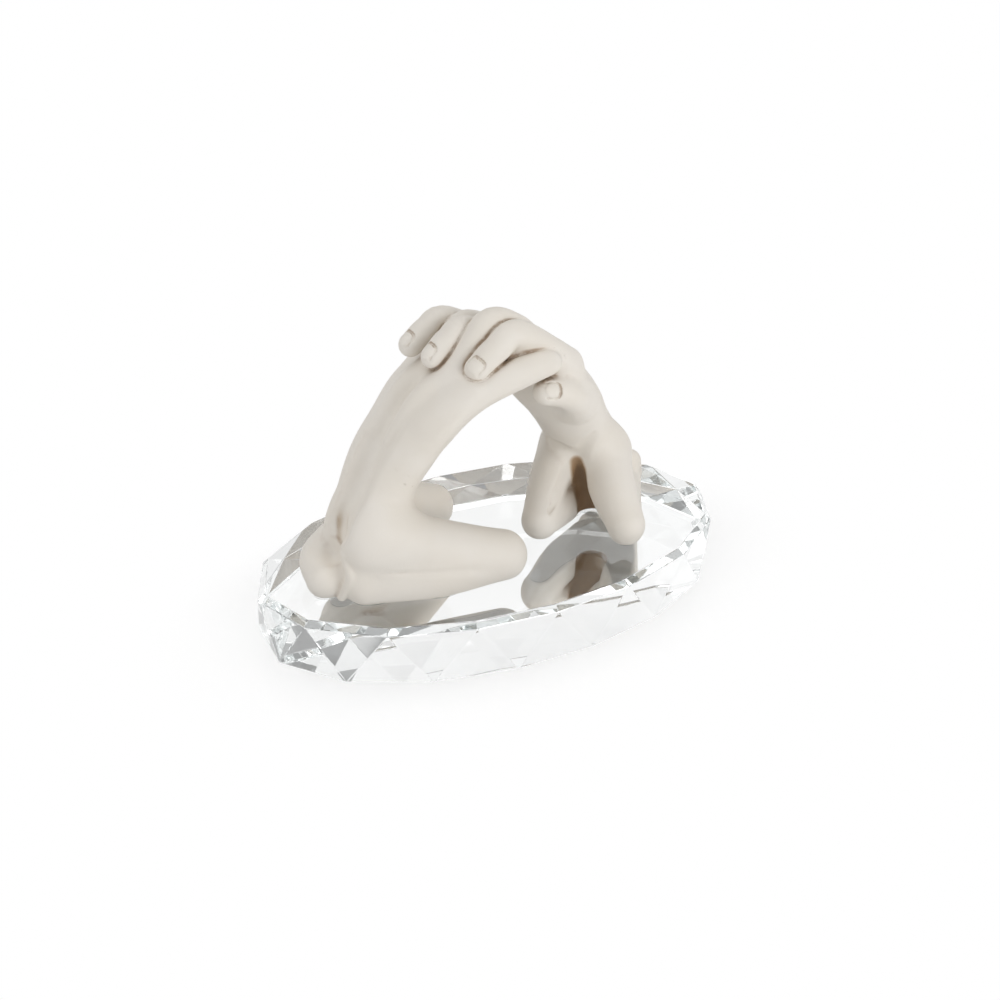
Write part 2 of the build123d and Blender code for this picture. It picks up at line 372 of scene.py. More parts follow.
# Its lines: the groove of the spine, the hollow between the thighs, the lines of the groin and the far thigh, and the
# slit at the far knee
RIGHT_SPINE = (
    (44.6, 18.8, 21.5, 2.4), (43.9, 18.2, 24.8, 3.3), (36.9, 11.9, 39.7, 3.8), (32.3, 7.1, 50.6, 3.4),
    (27.5, 4.5, 57.0, 2.4),
)
RIGHT_HOLLOW = ((29.4, -1.8, 21.6, 0.5), (31.8, -2.0, 15.5, 2.4), (34.2, -3.4, 8.5, 4.2), (35.4, -4.4, 2.0, 5.4))
RIGHT_LINES = (
    ((22.0, 3.8, 26.8, 2.1), (23.2, 0.5, 26.2, 2.5), (25.1, -1.6, 24.9, 2.6), (27.1, -2.8, 23.6, 2.7)),
    ((32.2, -8.3, 32.0, 1.8), (30.6, -6.9, 28.8, 2.3), (29.4, -5.1, 25.6, 2.6), (28.7, -3.9, 23.3, 2.7)),
    ((19.5, -8.5, 13.4, 2.4), (22.8, -5.7, 15.2, 2.5), (25.7, -3.6, 17.5, 2.6), (27.4, -3.1, 20.6, 2.7)),
)
RIGHT_SLIT = ((20.3, -6.9, 12.4, 0.5), (18.5, -8.2, 11.7, 0.9), (16.2, -9.7, 10.8, 0.9), (15.2, -10.6, 10.1, 0.4))

# The path of painted deep shade in the hollow between its thighs, from the crotch down to the crystal
DEEP_SHADE = ((29.8, -1.7, 20.6, 0.6), (32.4, -1.8, 14.5, 2.8), (35.4, -4.0, 7.0, 4.6), (36.0, -4.0, 1.5, 4.8))


def right_clay(points):
    """The right figure at some points: trunk and hand, buttocks, folded legs and feet, cut flat at the seat."""
    clay = Clay(points)
    clay.press(Tube(RIGHT_TRUNK, RIGHT_ACROSS))
    seat = Clay(points)
    seat.press(Ball(45.5, 8, 15.6, (7.6, 7.6, 8.5)))
    seat.press(Ball(36.5, 13.5, 15.6, (7.6, 7.6, 8.5)), 1.0)
    clay.join(seat, 4.0)
    near_thigh = Tube(((42.5, 3.5, 19.0, 8.8), (38.2, -12, 12.6, 7.6), (37, -22.4, 6.4, 6.2)))
    far_thigh = Tube(((32, 11.5, 20.0, 8.2), (21.8, 2.6, 13.5, 6.6), (13.6, -6.8, 6.2, 5.6)))
    near_calf = Tube(((37.4, -21.8, 4.2, 5.3), (44.5, -6.5, 3.8, 6.9), (53, 6, 4.0, 5.8)))
    far_calf = Tube(((14.2, -6.2, 4.2, 5.3), (28, 3.6, 3.6, 6.9), (43, 14, 4.0, 5.8)))
    between_calves = Tube(((38.5, 4, 5.0, 8.2), (46, 11, 4.0, 8.0)))
    near_foot = Tube(((56.4, 8.6, 10.0, 4.0), (57.6, 10.6, 4.6, 4.6)))
    under_index = Ball(5, -10.5, 68.0, (8, 5, 5))
    index_root = Ball(15.5, -12.5, 62.0, (5, 4, 4))
    far_foot = Tube(((46, 17, 10.6, 5.5), (49, 20, 4.6, 5.0)))
    clay.press(near_thigh, 6.0)
    clay.press(far_thigh, 6.0)
    clay.press(near_calf, 1.5)
    clay.press(far_calf, 2.5)
    clay.press(between_calves, 2.0)
    clay.press(near_foot, 3.0)
    clay.press(under_index, 1.0)
    clay.press(index_root, 2.0)
    clay.press(far_foot, 2.0)
    clay.scoop(Tube(RIGHT_SPINE), 3.0)
    clay.scoop(Tube(RIGHT_HOLLOW), 1.4)
    for line in RIGHT_LINES:
        clay.scoop(Tube(line), 1.5)
    clay.scoop(Tube(RIGHT_SLIT), 0.8)
    hand(clay, RIGHT_DIGITS, RIGHT_NAILS)
    clay.grind()
    return clay.distance


# The clasp: where the hands meet, they fillet into each other, and each reaches just past the middle. In millimetres:
# that lap, the fillet, the depth and width of the line where they meet, how far from the skin the line fades, the
# height above the seat where the clasp starts, and how near to one figure the other is looked for.
CLASP_LAP = 0.5
CLASP_BLEND = 0.9
CLASP_SCORE = 0.55
CLASP_WIDTH = 1.2
CLASP_FADE = 3.0
CLASP_FROM = 35.0
CLASP_NEAR = 8.0


def both(left, right):
    """Both figures as one, from the distances to each, with a small fillet and a fine line where they meet."""
    line = np.exp(-((left - right) / CLASP_WIDTH) ** 2) * np.exp(-(np.minimum(left, right) / CLASP_FADE) ** 2)
    return smooth_min(left, right, CLASP_BLEND) + np.float32(CLASP_SCORE) * line


def pair(points):
    """Both figures as one at some points."""
    return both(left_clay(points), right_clay(points))


def clasped(own, other, points):
    """One figure at some points, filleted into the other and ended just past where both are equally near."""
    distance = own(points)
    at = np.nonzero((points[:, 2] > SEAT + CLASP_FROM) & (distance < CLASP_NEAR))[0]
    mine, theirs = distance[at], other(points[at])
    distance[at] = np.maximum(both(mine, theirs), (mine - theirs) / 2 - CLASP_LAP)
    return distance


def left_body(points):
    """The left figure with its share of the clasp."""
    return clasped(left_clay, right_clay, points)


def right_body(points):
    """The right figure with its share of the clasp."""
    return clasped(right_clay, left_clay, points)


# Skin: a closed mesh where the distance is zero, on a grid whose cells are gathered into blocks
BLOCK = 4
CORNERS = list(np.ndindex(2, 2, 2))


def window(corner, counts):
    """The part of a grid that starts at a corner and has these counts along its axes."""
    return tuple(slice(i, i + n) for i, n in zip(corner, counts))


def enlarged(grid):
    """A grid with each of its values repeated over a block."""
    return grid.repeat(BLOCK, 0).repeat(BLOCK, 1).repeat(BLOCK, 2)


def steps_between(low, high, fine, coarse, fine_from, fine_to):
    """Grid positions from low to high, closer together from fine_from to fine_to, in whole blocks."""
    ramp = 8.0
    spots = [low]
    while spots[-1] < high or (len(spots) - 1) % BLOCK:
        away = max(fine_from - spots[-1], spots[-1] - fine_to, 0)
        spots.append(spots[-1] + fine + (coarse - fine) * min(away / ramp, 1))
    return np.array(spots)


def skin(body, axes):
    """Vertices, normals and quads of the zero surface of a body on a grid, by surface nets.

    A coarse grid finds the blocks that the surface passes, those with a corner less than 1.1 of their longest side
    from it, and the fine grid is worked out only there.
    """
    slack = 1.1
    shape = np.array([len(axis) for axis in axes])
    blocks = (shape - 1) // BLOCK
    wide = [axis[::BLOCK] for axis in axes]
    coarse = body(np.stack(np.meshgrid(*wide, indexing="ij"), -1).reshape(-1, 3).astype(np.float32))
    coarse = coarse.reshape(blocks + 1)
    reach = slack * max(np.diff(axis).max() for axis in wide)
    close = np.abs(coarse) < reach
    passed = enlarged(np.logical_or.reduce([close[window(c, blocks)] for c in CORNERS]))
    live = np.zeros(shape, bool)
    for c in CORNERS:
        live[window(c, blocks * BLOCK)] |= passed
    solid = enlarged(coarse < 0)[window((0, 0, 0), shape)]
    field = np.where(solid, -FAR, FAR).astype(np.float32)
    at = np.nonzero(live)
    field[at] = body(np.stack([axis[i] for axis, i in zip(axes, at)], 1).astype(np.float32))
    vertices, quads = nets(field, axes)
    vertices, normals = settle(vertices, body)
    return vertices, normals, quads


def nets(field, axes):
    """Vertices and quads of the zero surface of a field on a grid with its positions along each axis.

    Each cell with corners on both sides gets a vertex at the mean of the crossings on its edges, and each edge that
    crosses joins the four cells round it as a quad.
    """
    sign = field < 0
    cells = np.array(field.shape) - 1
    count = sum(sign[window(c, cells)].astype(np.int8) for c in CORNERS)
    here = np.nonzero((count > 0) & (count < len(CORNERS)))
    values = {c: field[tuple(a + i for a, i in zip(here, c))] for c in CORNERS}
    total = np.zeros((len(here[0]), 3))
    hits = np.zeros(len(here[0]))
    for a in CORNERS:
        for axis in range(3):
            if a[axis]:
                continue
            b = tuple(1 if i == axis else v for i, v in enumerate(a))
            crosses = (values[a] < 0) != (values[b] < 0)
            share = np.where(crosses, values[a] / np.where(crosses, values[a] - values[b], 1), 0)
            spot = np.tile(np.array(a, float), (len(share), 1))
            spot[:, axis] += share
            total += spot * crosses[:, None]
            hits += crosses
    share = total / hits[:, None]
    lows = [axis[i] for axis, i in zip(axes, here)]
    highs = [axis[i + 1] for axis, i in zip(axes, here)]
    vertices = np.stack([low + (high - low) * share[:, i] for i, (low, high) in enumerate(zip(lows, highs))], 1)
    number = np.full(cells, -1)
    number[here] = np.arange(len(here[0]))
    quads = []
    for axis in range(3):
        u, v = (axis + 1) % 3, (axis + 2) % 3
        lower = [slice(1, n) for n in cells]
        lower[axis] = slice(0, cells[axis])
        upper = list(lower)
        upper[axis] = slice(1, cells[axis] + 1)
        first = sign[tuple(lower)]
        edge = np.nonzero(first != sign[tuple(upper)])
        base = [edge[i] + (0 if i == axis else 1) for i in range(3)]
        ring = []
        for du, dv in ((1, 1), (0, 1), (0, 0), (1, 0)):
            cell = list(base)
            cell[u] = base[u] - du
            cell[v] = base[v] - dv
            ring.append(number[tuple(cell)])
        ring = np.stack(ring, 1)
        flip = ~first[edge]
        ring[flip] = ring[flip][:, ::-1]
        quads.append(ring)
    return vertices, np.vstack(quads)


def settle(vertices, body):
    """Vertices moved along the slope of the distance onto the zero surface, by at most 0.3 mm, and their normals."""
    step, most, least_slope = 0.15, 0.3, 0.3
    here = body(vertices.astype(np.float32))
    slope = np.stack([(body((vertices + step * axis).astype(np.float32)) - here) / step for axis in np.eye(3)], 1)
    length = np.maximum(np.linalg.norm(slope, axis=1), least_slope)
    shift = np.clip(here / length, -most, most)
    normals = slope / length[:, None]
    return vertices - normals * shift[:, None], normals


def mesh_object(name, vertices, faces, smooth=True):
    """A mesh object at the origin from vertices in millimetres and a list of faces."""
    mesh = bpy.data.meshes.new(name)
    mesh.from_pydata((np.asarray(vertices) * MM).tolist(), [], faces)
    mesh.polygons.foreach_set("use_smooth", np.full(len(mesh.polygons), smooth))
    mesh.update()
    piece = bpy.data.objects.new(name, mesh)
    bpy.context.scene.collection.objects.link(piece)
    return piece


def hollows(vertices, normals, steps, around):
    """How sheltered each vertex is by the forms around it, from 0 on open skin to 1.

    At a few distances out along the normal, the share of that distance by which the nearest surface is closer.
    """
    depth = np.zeros(len(vertices))
    for step in steps:
        out = (vertices + normals * step).astype(np.float32)
        depth += np.clip(1 - around(out) / step, 0, 1)
    return depth / len(steps)


# Colour in the hollows, in millimetres: the distances out from the skin at which sheltering is felt for the brown
# patina and for the painted shade; the height above the seat where the painted shade has thinned out, over how much,
# and to what share; how far round its path the painted deep shade fades; and the height above the seat under which
# that shade is left off undersides, and over how much
WASH_STEPS = (0.5, 1.0, 2.0)
SHADE_STEPS = (4.0, 7.0, 12.0)
SHADE_TOP, SHADE_FADE, SHADE_LEAST = 45, 10, 0.3
DEEP_SHADE_FADE = 3
BARE_UNDER, BARE_FADE = 9, 4

# How far past its node's box a figure's grid reaches, in millimetres
GRID_MARGIN = 4


def figure(name, body, clay, node, fine_from, fine_to, shade_share, deep_shade=None):
    """A figure's skin as an object that stands for its node, with attributes for the brown patina and the painted
    shade.

    The brown patina lies where the pair shelters the skin within 2 mm. The painted shade lies where the figure itself
    does within 12 mm, less above the waist, and is painted deepest within 3 mm of the path of deep shade where one is
    given, but not underneath.
    """
    low, high = (np.array(corner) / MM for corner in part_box(node))
    settings = bpy.context.scene.hand_ceramic
    coarser = 1
    fine, coarse = settings.fine_pitch / MM * coarser, settings.pitch / MM * coarser
    axes = [steps_between(low[i] - GRID_MARGIN, high[i] + GRID_MARGIN, fine, coarse, fine_from[i], fine_to[i])
            for i in range(3)]
    vertices, normals, quads = skin(body, axes)
    if not len(quads):
        raise RuntimeError(f"{name}: no skin found in the box of {node}")
    piece = mesh_object(name, vertices, quads.tolist())
    piece.data.normals_split_custom_set_from_vertices(normals)
    height = vertices[:, 2] - SEAT
    crease = hollows(vertices, normals, WASH_STEPS, pair)
    # Painted shade: darker where the figure itself shelters the skin within 12 mm, less above the waist
    thinned = np.clip((SHADE_TOP - height) / SHADE_FADE, SHADE_LEAST, 1)
    painted_shade = hollows(vertices, normals, SHADE_STEPS, clay) * shade_share * thinned
    # Painted deep shade in the hollow along the given path, left off undersides near the seat
    if deep_shade:
        deep_shade_mask = np.clip(1 - Tube(deep_shade).distance(vertices.astype(np.float32)) / DEEP_SHADE_FADE, 0, 1)
        underneath = np.clip((BARE_UNDER - height) / BARE_FADE, 0, 1) * np.clip(-2 * normals[:, 2], 0, 1)
        painted_shade = np.maximum(painted_shade, deep_shade_mask * (1 - underneath))
    for key, values in (("crease", crease), ("painted_shade", painted_shade)):
        piece.data.attributes.new(key, "FLOAT", "POINT").data.foreach_set("value", values.astype(np.float32))
    piece.data.materials.append(ceramic())
    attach(piece, BODY)
    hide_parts(node)
    return piece


# Crystal: the base as a ring of ground triangles under a bevelled top, and the films that hold the figures to it. The
# edges that are eased are those that turn by more than an angle, and a film keeps a share of its node's thickness.
EASED_ANGLE = math.radians(4)
FILM_SHARE = 0.7


def crystal_rings(corners=16, shift=5.0, drop=1.8, inset=2.0, lift=0.05):
    """Rings of corners: underside, rim and top, in millimetres.

    The corners lie on the oval at the bearing t + shift sin(2 t), counted from -X, with t going round in even steps
    and the shift in degrees. The underside's corners lie half a step on and are lifted just off the floor. The rim
    lies the drop under the top, which is the rim moved in by the inset, square to its edges.
    """
    half = (CRYSTAL_HIGH - CRYSTAL_LOW)[:2] / 2

    def ring(offset, height):
        t = 2 * math.pi * (np.arange(corners) + offset) / corners
        bearing = math.pi + t + math.radians(shift) * np.sin(2 * t)
        return np.stack([half[0] * np.cos(bearing), half[1] * np.sin(bearing), np.full(corners, height)], 1)

    top = CRYSTAL_HIGH[2]
    rim = ring(0, top - drop)
    edges = np.roll(rim, -1, 0) - rim
    outward = np.stack([edges[:, 1], -edges[:, 0]], 1) / np.linalg.norm(edges, axis=1)[:, None]
    before = np.roll(outward, 1, 0)
    crown = rim.copy()
    crown[:, :2] -= inset * (outward + before) / (1 + (outward * before).sum(1))[:, None]
    crown[:, 2] = top
    return ring(0.5, lift), rim, crown


def crystal_piece():
    """The crystal as an object that stands for its node, its edges just eased."""
    underside, rim, crown = crystal_rings()
    count = len(rim)
    here, after = np.arange(count), (np.arange(count) + 1) % count
    faces = [tuple(reversed(range(count))), tuple(range(2 * count, 3 * count))]
    faces += np.stack([count + here, here, count + after], 1).tolist()
    faces += np.stack([here, after, count + after], 1).tolist()
    faces += np.stack([count + here, count + after, 2 * count + after, 2 * count + here], 1).tolist()
    piece = mesh_object("cut_crystal", np.vstack([underside, rim, crown]), faces, smooth=False)
    ease = piece.modifiers.new("eased edges", "BEVEL")
    ease.width = bpy.context.scene.hand_crystal.edge
    ease.segments = 2
    ease.limit_method = "ANGLE"
    ease.angle_limit = EASED_ANGLE
    piece.data.materials.append(crystal())
    piece.data.materials.append(silvering())
    piece.data.polygons[0].material_index = 1
    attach(piece, BODY)
    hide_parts("crystal_base")
    return piece


def film(name):
    """A figure's clear adhesive: its node's mesh, thinned about its middle to clear the faces above and below it."""
    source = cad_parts[name]
    mesh = source.data.copy()
    if not len(mesh.polygons):
        raise RuntimeError(f"{name}: the node has no faces")
    spots = np.empty(len(mesh.vertices) * 3)
    mesh.vertices.foreach_get("co", spots)
    place = np.array(source.matrix_world)
    spots = spots.reshape(-1, 3) @ place[:3, :3].T + place[:3, 3]
    middle = (SEAT + CRYSTAL_HIGH[2]) / 2 * MM
    spots[:, 2] = middle + (spots[:, 2] - middle) * FILM_SHARE
    mesh.vertices.foreach_set("co", spots.ravel())
    mesh.materials.clear()
    mesh.materials.append(crystal())
    piece = bpy.data.objects.new(f"{name}_film", mesh)
    bpy.context.scene.collection.objects.link(piece)
    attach(piece, BODY)
    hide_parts(name)


# Materials

def new_material(name):
    """A node material with its tree and its Principled shader."""
    material = bpy.data.materials.new(name)
    material.use_nodes = True
    return material, material.node_tree, material.node_tree.nodes["Principled BSDF"]


def add_node(tree, kind, **values):
    """A shader node with its settings, and its inputs by name where a key is one."""
    made = tree.nodes.new(kind)
    for key, value in values.items():
        if key in made.inputs:
            made.inputs[key].default_value = value
        else:
            setattr(made, key, value)
    return made


def feed(tree, value, socket):
    """Set an input to a number, or link it to an output."""
    if isinstance(value, bpy.types.NodeSocket):
        tree.links.new(value, socket)
    else:
        socket.default_value = value


def noise(tree, scale, detail):
    """Noise in the object's own space, with a scale in features per metre."""
    place = add_node(tree, "ShaderNodeTexCoord")
    made = add_node(tree, "ShaderNodeTexNoise", Detail=detail)
    feed(tree, scale, made.inputs["Scale"])
    tree.links.new(place.outputs["Object"], made.inputs["Vector"])
    return made.outputs["Fac"]


def spread(tree, value, low, high, to_low=0.0, to_high=1.0):
    """A value mapped smoothly from one range to another, held at its ends."""
    made = add_node(tree, "ShaderNodeMapRange")
    made.interpolation_type = "SMOOTHSTEP"
    for key, number in (("From Min", low), ("From Max", high), ("To Min", to_low), ("To Max", to_high)):
        made.inputs[key].default_value = number
    tree.links.new(value, made.inputs["Value"])
    return made.outputs["Result"]


def sums(tree, operation, first, second):
    """Two values put together by a Math node."""
    made = add_node(tree, "ShaderNodeMath", operation=operation)
    for socket, value in zip(made.inputs, (first, second)):
        feed(tree, value, socket)
    return made.outputs["Value"]


def mixed(tree, share, first, second):
    """Two colours mixed by a share."""
    made = add_node(tree, "ShaderNodeMix", data_type="RGBA")
    tree.links.new(share, made.inputs["Factor"])
    for socket, value in ((made.inputs[6], first), (made.inputs[7], second)):
        if isinstance(value, bpy.types.NodeSocket):
            tree.links.new(value, socket)
        else:
            socket.default_value = (*value, 1)
    return made.outputs[2]


def ceramic():
    """Matte ivory bisque, with a brown patina in the creases and painted shade in sheltered places, brown where
    deepest.
    """
    if "ivory_bisque" in bpy.data.materials:
        return bpy.data.materials["ivory_bisque"]
    settings = bpy.context.scene.hand_ceramic
    material, tree, shader = new_material("ivory_bisque")
    crease = add_node(tree, "ShaderNodeAttribute", attribute_name="crease").outputs["Fac"]
    painted_shade = add_node(tree, "ShaderNodeAttribute", attribute_name="painted_shade").outputs["Fac"]
    cloud = noise(tree, 55.0, 3.0)
    grain = noise(tree, 1100.0, 2.0)
    fleck = noise(tree, 620.0, 1.0)
    ground = mixed(tree, spread(tree, cloud, 0.35, 0.65), settings.ivory, settings.warm)
    # Painted shade: sheltered ceramic darkens to light brown, and the most sheltered to dark brown
    ground = mixed(tree, spread(tree, painted_shade, 0.22, 0.55), ground, settings.tan)
    ground = mixed(tree, spread(tree, painted_shade, 0.42, 0.75, 0.0, 0.85), ground, settings.wash_and_shade)
    pooled, uneven = spread(tree, crease, 0.18, 0.7, 0.0, 0.75), spread(tree, fleck, 0.25, 0.6, 0.45, 1.0)
    ground = mixed(tree, sums(tree, "MULTIPLY", pooled, uneven), ground, settings.wash_and_shade)
    tree.links.new(ground, shader.inputs["Base Color"])
    tree.links.new(spread(tree, grain, 0.3, 0.7, 0.5, 0.64), shader.inputs["Roughness"])
    bump = add_node(tree, "ShaderNodeBump", Strength=0.35, Distance=0.00008)
    tree.links.new(grain, bump.inputs["Height"])
    tree.links.new(bump.outputs["Normal"], shader.inputs["Normal"])
    shader.inputs["Specular IOR Level"].default_value = 0.4
    return material


def haze_group():
    """The node group of the haze: noise over its middle values, spread to a slight roughness."""
    if "handling_haze" in bpy.data.node_groups:
        return bpy.data.node_groups["handling_haze"]
    tree = bpy.data.node_groups.new("handling_haze", "ShaderNodeTree")
    tree.interface.new_socket("Scale", in_out="INPUT", socket_type="NodeSocketFloat")
    tree.interface.new_socket("Roughness", in_out="OUTPUT", socket_type="NodeSocketFloat")
    given, result = add_node(tree, "NodeGroupInput"), add_node(tree, "NodeGroupOutput")
    patches = noise(tree, given.outputs["Scale"], 4.0)
    tree.links.new(spread(tree, patches, 0.45, 0.75, 0.0, 0.03), result.inputs["Roughness"])
    return tree


def haze(tree, scale):
    """The roughness of a polished face with the faint haze of handling, its patches so many to the metre."""
    made = add_node(tree, "ShaderNodeGroup", node_tree=haze_group())
    made.inputs["Scale"].default_value = scale
    return made.outputs["Roughness"]


def crystal():
    """Clear polished crystal, with the faint haze of handling on its faces. Shadow rays pass it, a little dimmed."""
    if "clear_crystal" in bpy.data.materials:
        return bpy.data.materials["clear_crystal"]
    material, tree, shader = new_material("clear_crystal")
    shader.inputs["Base Color"].default_value = (0.994, 0.997, 0.996, 1)
    shader.inputs["Transmission Weight"].default_value = 1.0
    shader.inputs["IOR"].default_value = bpy.context.scene.hand_crystal.bending
    tree.links.new(haze(tree, 90.0), shader.inputs["Roughness"])
    passing = add_node(tree, "ShaderNodeBsdfTransparent")
    passing.inputs["Color"].default_value = (0.93, 0.94, 0.94, 1)
    path = add_node(tree, "ShaderNodeLightPath")
    either = add_node(tree, "ShaderNodeMixShader")
    tree.links.new(path.outputs["Is Shadow Ray"], either.inputs[0])
    tree.links.new(shader.outputs[0], either.inputs[1])
    tree.links.new(passing.outputs[0], either.inputs[2])
    tree.links.new(either.outputs[0], tree.nodes["Material Output"].inputs["Surface"])
    return material


def silvering():
    """The mirror on the crystal's underside, with the same haze in larger patches."""
    material, tree, shader = new_material("silvered_underside")
    shader.inputs["Base Color"].default_value = (0.97, 0.975, 0.975, 1)
    shader.inputs["Metallic"].default_value = 1.0
    tree.links.new(haze(tree, 60.0), shader.inputs["Roughness"])
    return material


def looking(tree):
    """Two outputs that are 1 for rays straight from the eye and for rays by way of glass or gloss, and else 0."""
    path = add_node(tree, "ShaderNodeLightPath")
    bent = sums(tree, "MAXIMUM", path.outputs["Is Glossy Ray"], path.outputs["Is Transmission Ray"])
    return path.outputs["Is Camera Ray"], bent


def pale_floor():
    """A smooth white floor that mirrors faintly and looks plain white away from the object.

    Distances are in the base's half sizes. Rays straight from the eye see the floor out to 0.95 and white from 1.5.
    Rays by way of glass or gloss see the floor out to 1.3 and a duller white from 3.2. Both see the floor a little
    brighter than it is lit.
    """
    material, tree, shader = new_material("pale_floor")
    shader.inputs["Base Color"].default_value = (0.95, 0.95, 0.95, 1)
    shader.inputs["Roughness"].default_value = 0.16
    place = add_node(tree, "ShaderNodeTexCoord")
    oval = add_node(tree, "ShaderNodeVectorMath", operation="MULTIPLY")
    oval.inputs[1].default_value = (1 / (CRYSTAL_HIGH[0] * MM), 1 / (CRYSTAL_HIGH[1] * MM), 0)
    away = add_node(tree, "ShaderNodeVectorMath", operation="LENGTH")
    tree.links.new(place.outputs["Object"], oval.inputs[0])
    tree.links.new(oval.outputs["Vector"], away.inputs[0])
    straight, bent = looking(tree)
    white = add_node(tree, "ShaderNodeEmission", Color=(1, 1, 1, 1))
    tree.links.new(spread(tree, bent, 0, 1, 1.0, 0.78), white.inputs["Strength"])
    lift = add_node(tree, "ShaderNodeEmission", Color=(1, 1, 1, 1))
    tree.links.new(sums(tree, "MULTIPLY", sums(tree, "MAXIMUM", straight, bent), 0.24), lift.inputs["Strength"])
    lifted = add_node(tree, "ShaderNodeAddShader")
    tree.links.new(shader.outputs[0], lifted.inputs[0])
    tree.links.new(lift.outputs[0], lifted.inputs[1])
    straight = sums(tree, "MULTIPLY", spread(tree, away.outputs["Value"], 0.95, 1.5), straight)
    bent = sums(tree, "MULTIPLY", spread(tree, away.outputs["Value"], 1.3, 3.2), bent)
    either = add_node(tree, "ShaderNodeMixShader")
    tree.links.new(sums(tree, "MAXIMUM", straight, bent), either.inputs[0])
    tree.links.new(lifted.outputs[0], either.inputs[1])
    tree.links.new(white.outputs[0], either.inputs[2])
    tree.links.new(either.outputs[0], tree.nodes["Material Output"].inputs["Surface"])
    return material


# Settings

class CeramicSettings(bpy.types.PropertyGroup):
    """The fineness of the figures' skin and the colours of the ceramic"""

    pitch: FloatProperty(
        name="Body pitch", description="Size of the skin's cells on the body", default=0.0007, unit="LENGTH")
    fine_pitch: FloatProperty(
        name="Hand pitch", description="Size of the skin's cells on the hand", default=0.00042, unit="LENGTH")
    ivory: FloatVectorProperty(
        name="Ivory", description="Colour of the open ceramic", default=(0.84, 0.795, 0.73), subtype="COLOR")
    warm: FloatVectorProperty(
        name="Warm ivory", description="Second colour of the ceramic's faint mottling", default=(0.82, 0.77, 0.695),
        subtype="COLOR")
    # Painted shade: the colour that sheltered ceramic is darkened to
    tan: FloatVectorProperty(
        name="Tan bloom", description="Colour of sheltered ceramic", default=(0.62, 0.51, 0.39), subtype="COLOR")
    # The brown of the patina in the creases, and also the colour of the deepest painted shade
    wash_and_shade: FloatVectorProperty(
        name="Brown wash", description="Colour left in the creases", default=(0.32, 0.195, 0.10), subtype="COLOR")


class CrystalSettings(bpy.types.PropertyGroup):
    """The edges and the refraction of the crystal"""

    edge: FloatProperty(name="Eased edge", description="Width of the crystal's edges", default=0.0002, unit="LENGTH")
    bending: FloatProperty(name="Refraction", description="Refractive index of the crystal", default=1.52)


class StageSettings(bpy.types.PropertyGroup):
    """The strengths of the stage's light"""

    room: FloatProperty(name="Room light", description="Strength of the white room", default=0.47)
    front: FloatProperty(
        name="Dark front", description="How bright glass and gloss see the room on the camera's side", default=0.3)
    top: FloatProperty(name="Top softbox", description="Power of the softbox overhead", default=0.85, unit="POWER")
    key: FloatProperty(name="Left softbox", description="Power of the softbox at the left", default=1.15, unit="POWER")
    fill: FloatProperty(
        name="Right softbox", description="Power of the softbox at the right", default=2.1, unit="POWER")


# Operators

class HANDS_OT_left_figure(bpy.types.Operator):
    """Model the left figure"""

    bl_idname = "hands.left_figure"
    bl_label = "Left figure"

    def execute(self, context):
        figure("left_hand_figure", left_body, left_clay, "left_figure",
               fine_from=(-26, -22, 72), fine_to=(24, 23, 105), shade_share=0.5)
        return {"FINISHED"}


class HANDS_OT_right_figure(bpy.types.Operator):
    """Model the right figure"""

    bl_idname = "hands.right_figure"
    bl_label = "Right figure"

    def execute(self, context):
        figure("right_hand_figure", right_body, right_clay, "right_figure",
               fine_from=(-30, -22, 72), fine_to=(16, 23, 105), shade_share=0.4, deep_shade=DEEP_SHADE)
        return {"FINISHED"}


class HANDS_OT_crystal(bpy.types.Operator):
    """Cut the crystal base and lay the films of adhesive on it"""

    bl_idname = "hands.crystal"
    bl_label = "Crystal base"

    def execute(self, context):
        crystal_piece()
        for name in ("left_bond", "right_bond"):
            film(name)
        return {"FINISHED"}


# Stage: the floor's half size and height and the camera's place and target in millimetres, its lens and sensor, and
# how often light may bounce, which the crystal's facets need
FLOOR_HALF, FLOOR_HEIGHT = 2500.0, -0.05
CAMERA_PLACE = (-166.2, -346.2, 256.9)
CAMERA_TARGET = (-3.45, -12.55, 40.0)
CAMERA_LENS, CAMERA_SENSOR = 49.6, 36
BOUNCES = 64


def turned(place, aim):
    """The rotation that turns a lamp or camera at a place towards a point."""
    return (Vector(aim) - Vector(place)).to_track_quat("-Z", "Y").to_euler()


def softbox(name, place, aim, size, power):
    """A large soft lamp at a place, turned to a point, in metres."""
    lamp = bpy.data.lights.new(name, "AREA")
    lamp.shape = "RECTANGLE"
    lamp.size, lamp.size_y = size
    lamp.energy = power
    made = bpy.data.objects.new(name, lamp)
    made.location = place
    made.rotation_euler = turned(place, aim)
    bpy.context.scene.collection.objects.link(made)


def white_room(settings):
    """A world that is plain white to the eye, and lights the scene at the room's strength.

    Rays by way of glass or gloss see it darken smoothly, from white behind the object to the front's strength on the
    camera's side.
    """
    world = bpy.data.worlds.new("white_room")
    world.use_nodes = True
    tree = world.node_tree
    back = tree.nodes["Background"]
    back.inputs["Color"].default_value = (1, 1, 1, 1)
    straight, bent = looking(tree)
    facing = add_node(tree, "ShaderNodeSeparateXYZ")
    tree.links.new(add_node(tree, "ShaderNodeNewGeometry").outputs["Incoming"], facing.inputs[0])
    behind = sums(tree, "MULTIPLY", spread(tree, facing.outputs["Y"], -0.5, 0.6, 1.0, settings.front), bent)
    seen = sums(tree, "MAXIMUM", straight, behind)
    lighting = sums(tree, "SUBTRACT", 1.0, sums(tree, "MAXIMUM", straight, bent))
    room = sums(tree, "MULTIPLY", lighting, settings.room)
    tree.links.new(sums(tree, "ADD", seen, room), back.inputs["Strength"])
    return world


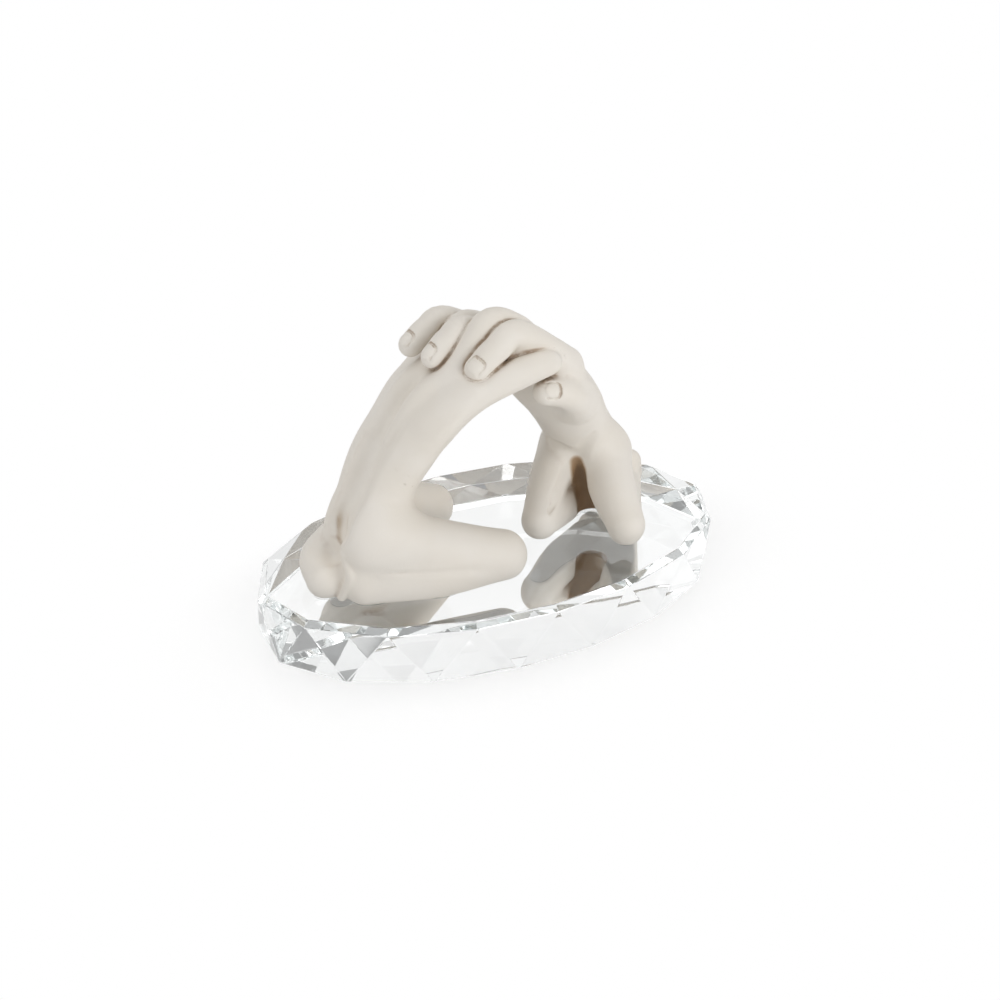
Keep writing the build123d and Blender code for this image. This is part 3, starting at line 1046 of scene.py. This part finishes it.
class HANDS_OT_stage(bpy.types.Operator):
    """Set the floor, the soft light and the camera"""

    bl_idname = "hands.stage"
    bl_label = "Stage"

    def execute(self, context):
        settings = context.scene.hand_stage
        half = FLOOR_HALF
        corners = [(x, y, FLOOR_HEIGHT) for x, y in ((-half, -half), (half, -half), (half, half), (-half, half))]
        floor = mesh_object("floor", corners, [(0, 1, 2, 3)])
        floor.data.materials.append(pale_floor())
        context.scene.world = white_room(settings)
        softbox("top_softbox", (0.0, 0.12, 0.7), (0, 0, 0.05), (0.6, 0.5), settings.top)
        softbox("left_softbox", (-0.75, -0.1, 0.32), (0, 0, 0.06), (0.6, 0.6), settings.key)
        softbox("right_softbox", (0.28, -0.65, 0.22), (0, 0, 0.05), (0.5, 0.4), settings.fill)
        context.scene.cycles.max_bounces = BOUNCES
        context.scene.cycles.glossy_bounces = BOUNCES
        context.scene.cycles.transmission_bounces = BOUNCES
        camera = bpy.data.objects.new("camera", bpy.data.cameras.new("camera"))
        camera.data.lens = CAMERA_LENS
        camera.data.sensor_width = CAMERA_SENSOR
        camera.location = Vector(CAMERA_PLACE) * MM
        camera.rotation_euler = turned(CAMERA_PLACE, CAMERA_TARGET)
        context.scene.collection.objects.link(camera)
        context.scene.camera = camera
        context.scene.view_settings.view_transform = "Standard"
        return {"FINISHED"}


class HANDS_PT_panel(bpy.types.Panel):
    """The settings and steps of the model"""

    bl_idname = "HANDS_PT_panel"
    bl_label = "Hand figures"
    bl_space_type = "VIEW_3D"
    bl_region_type = "UI"
    bl_category = "Hand figures"

    def draw(self, context):
        scene = context.scene
        for settings in (scene.hand_ceramic, scene.hand_crystal, scene.hand_stage):
            for key in settings.bl_rna.properties.keys():
                if key not in {"rna_type", "name"}:
                    self.layout.prop(settings, key)
        for step in ("left_figure", "right_figure", "crystal", "stage"):
            self.layout.operator(f"hands.{step}")


CLASSES = (
    CeramicSettings, CrystalSettings, StageSettings, HANDS_OT_left_figure, HANDS_OT_right_figure, HANDS_OT_crystal,
    HANDS_OT_stage, HANDS_PT_panel,
)


def register():
    """Add the classes and the scene's settings to Blender."""
    for each in CLASSES:
        bpy.utils.register_class(each)
    bpy.types.Scene.hand_ceramic = PointerProperty(type=CeramicSettings)
    bpy.types.Scene.hand_crystal = PointerProperty(type=CrystalSettings)
    bpy.types.Scene.hand_stage = PointerProperty(type=StageSettings)


def unregister():
    """Take the settings and the classes out again."""
    del bpy.types.Scene.hand_stage
    del bpy.types.Scene.hand_crystal
    del bpy.types.Scene.hand_ceramic
    for each in reversed(CLASSES):
        bpy.utils.unregister_class(each)


def main():
    """Build every piece and the stage."""
    register()
    bpy.ops.hands.left_figure()
    bpy.ops.hands.right_figure()
    bpy.ops.hands.crystal()
    bpy.ops.hands.stage()


if __name__ == "__main__":
    main()
